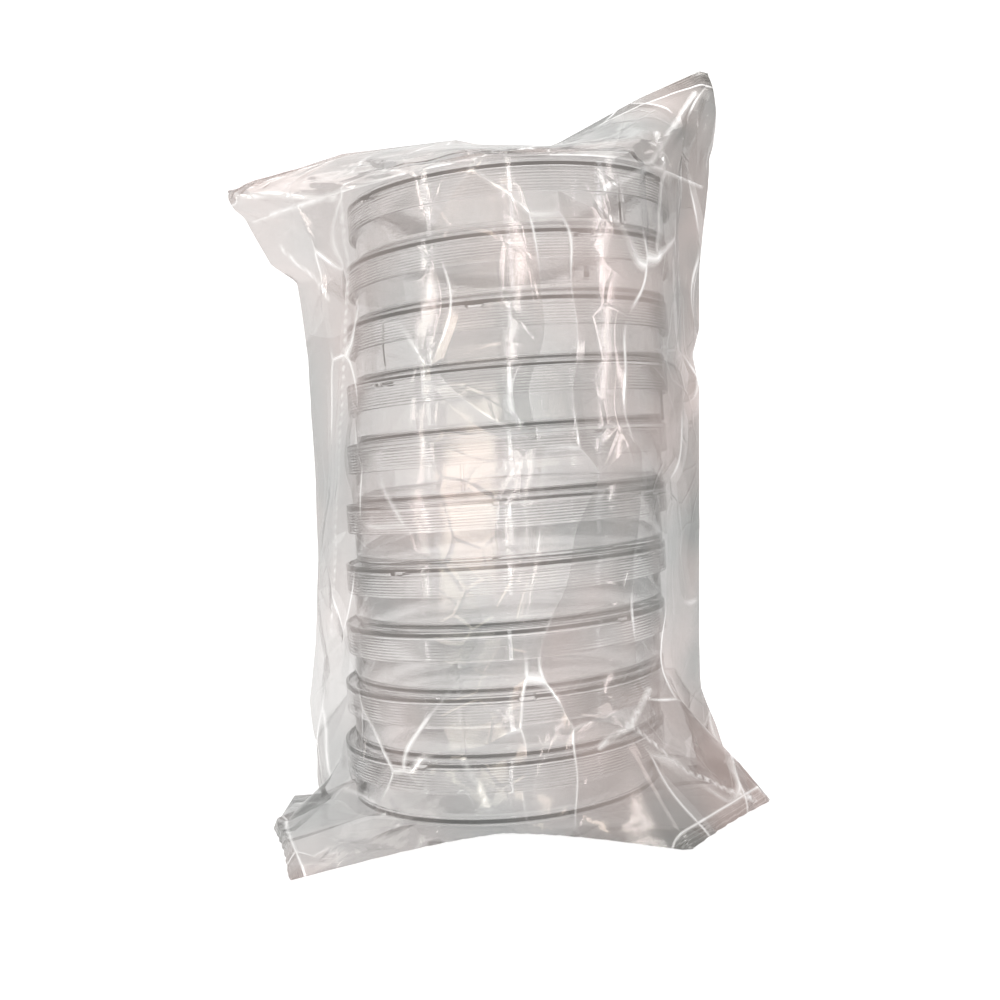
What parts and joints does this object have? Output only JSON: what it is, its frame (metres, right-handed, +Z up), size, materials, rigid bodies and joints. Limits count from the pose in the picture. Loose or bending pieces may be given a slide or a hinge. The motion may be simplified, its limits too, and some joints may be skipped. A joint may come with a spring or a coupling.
{
  "type": "petri dish",
  "caption": "Sealed clear film sleeve of stacked clear plastic petri dishes, each a shallow round base under a loose vented lid.",
  "frame": {"origin": "middle of the flat face that the sleeve stands on, under the lowest dish", "axes": "+Z up along the stack's height, +X to the side that the stack leans to, -Y to the front where both lower ears lie"},
  "size_m": [0.138, 0.1081, 0.1968],
  "materials": {
    "base_polystyrene": "clear crystal polystyrene, polished mould finish",
    "lid_polystyrene": "clear crystal polystyrene, polished mould finish with fine turned lines on the skirt",
    "sleeve_film": "thin clear film, creased and slightly hazy, heat sealed at both ends"
  },
  "bodies": {
    "sleeve_and_first_base": {"sleeve": "sleeve_film", "base_01": "base_polystyrene"},
    "lid_01": {"lid_01": "lid_polystyrene"},
    "base_02": {"base_02": "base_polystyrene"},
    "lid_02": {"lid_02": "lid_polystyrene"},
    "base_03": {"base_03": "base_polystyrene"},
    "lid_03": {"lid_03": "lid_polystyrene"},
    "base_04": {"base_04": "base_polystyrene"},
    "lid_04": {"lid_04": "lid_polystyrene"},
    "base_05": {"base_05": "base_polystyrene"},
    "lid_05": {"lid_05": "lid_polystyrene"},
    "base_06": {"base_06": "base_polystyrene"},
    "lid_06": {"lid_06": "lid_polystyrene"},
    "base_07": {"base_07": "base_polystyrene"},
    "lid_07": {"lid_07": "lid_polystyrene"},
    "base_08": {"base_08": "base_polystyrene"},
    "lid_08": {"lid_08": "lid_polystyrene"},
    "base_09": {"base_09": "base_polystyrene"},
    "lid_09": {"lid_09": "lid_polystyrene"},
    "base_10": {"base_10": "base_polystyrene"},
    "lid_10": {"lid_10": "lid_polystyrene"},
    "sleeve_top_end": {"sleeve_top_end": "sleeve_film"}
  },
  "joints": [
    {"name": "lid_01_lift", "type": "slide", "parent": "sleeve_and_first_base", "child": "lid_01", "axis": [0.08, 0, 0.9968], "range_m": [0, 0.02]},
    {"name": "base_02_lift", "type": "slide", "parent": "lid_01", "child": "base_02", "axis": [0.08, 0, 0.9968], "range_m": [0, 0.03]},
    {"name": "lid_02_lift", "type": "slide", "parent": "base_02", "child": "lid_02", "axis": [0.08, 0, 0.9968], "range_m": [0, 0.02]},
    {"name": "base_03_lift", "type": "slide", "parent": "lid_02", "child": "base_03", "axis": [0.08, 0, 0.9968], "range_m": [0, 0.03]},
    {"name": "lid_03_lift", "type": "slide", "parent": "base_03", "child": "lid_03", "axis": [0.08, 0, 0.9968], "range_m": [0, 0.02]},
    {"name": "base_04_lift", "type": "slide", "parent": "lid_03", "child": "base_04", "axis": [0.08, 0, 0.9968], "range_m": [0, 0.03]},
    {"name": "lid_04_lift", "type": "slide", "parent": "base_04", "child": "lid_04", "axis": [0.08, 0, 0.9968], "range_m": [0, 0.02]},
    {"name": "base_05_lift", "type": "slide", "parent": "lid_04", "child": "base_05", "axis": [0.08, 0, 0.9968], "range_m": [0, 0.03]},
    {"name": "lid_05_lift", "type": "slide", "parent": "base_05", "child": "lid_05", "axis": [0.08, 0, 0.9968], "range_m": [0, 0.02]},
    {"name": "base_06_lift", "type": "slide", "parent": "lid_05", "child": "base_06", "axis": [0.08, 0, 0.9968], "range_m": [0, 0.03]},
    {"name": "lid_06_lift", "type": "slide", "parent": "base_06", "child": "lid_06", "axis": [0.08, 0, 0.9968], "range_m": [0, 0.02]},
    {"name": "base_07_lift", "type": "slide", "parent": "lid_06", "child": "base_07", "axis": [0.08, 0, 0.9968], "range_m": [0, 0.03]},
    {"name": "lid_07_lift", "type": "slide", "parent": "base_07", "child": "lid_07", "axis": [0.08, 0, 0.9968], "range_m": [0, 0.02]},
    {"name": "base_08_lift", "type": "slide", "parent": "lid_07", "child": "base_08", "axis": [0.08, 0, 0.9968], "range_m": [0, 0.03]},
    {"name": "lid_08_lift", "type": "slide", "parent": "base_08", "child": "lid_08", "axis": [0.08, 0, 0.9968], "range_m": [0, 0.02]},
    {"name": "base_09_lift", "type": "slide", "parent": "lid_08", "child": "base_09", "axis": [0.08, 0, 0.9968], "range_m": [0, 0.03]},
    {"name": "lid_09_lift", "type": "slide", "parent": "base_09", "child": "lid_09", "axis": [0.08, 0, 0.9968], "range_m": [0, 0.02]},
    {"name": "base_10_lift", "type": "slide", "parent": "lid_09", "child": "base_10", "axis": [0.08, 0, 0.9968], "range_m": [0, 0.03]},
    {"name": "lid_10_lift", "type": "slide", "parent": "base_10", "child": "lid_10", "axis": [0.08, 0, 0.9968], "range_m": [0, 0.02]},
    {"name": "sleeve_top_end_lift", "type": "slide", "parent": "lid_10", "child": "sleeve_top_end", "axis": [0.08, 0, 0.9968], "range_m": [0, 0.05]}
  ]
}
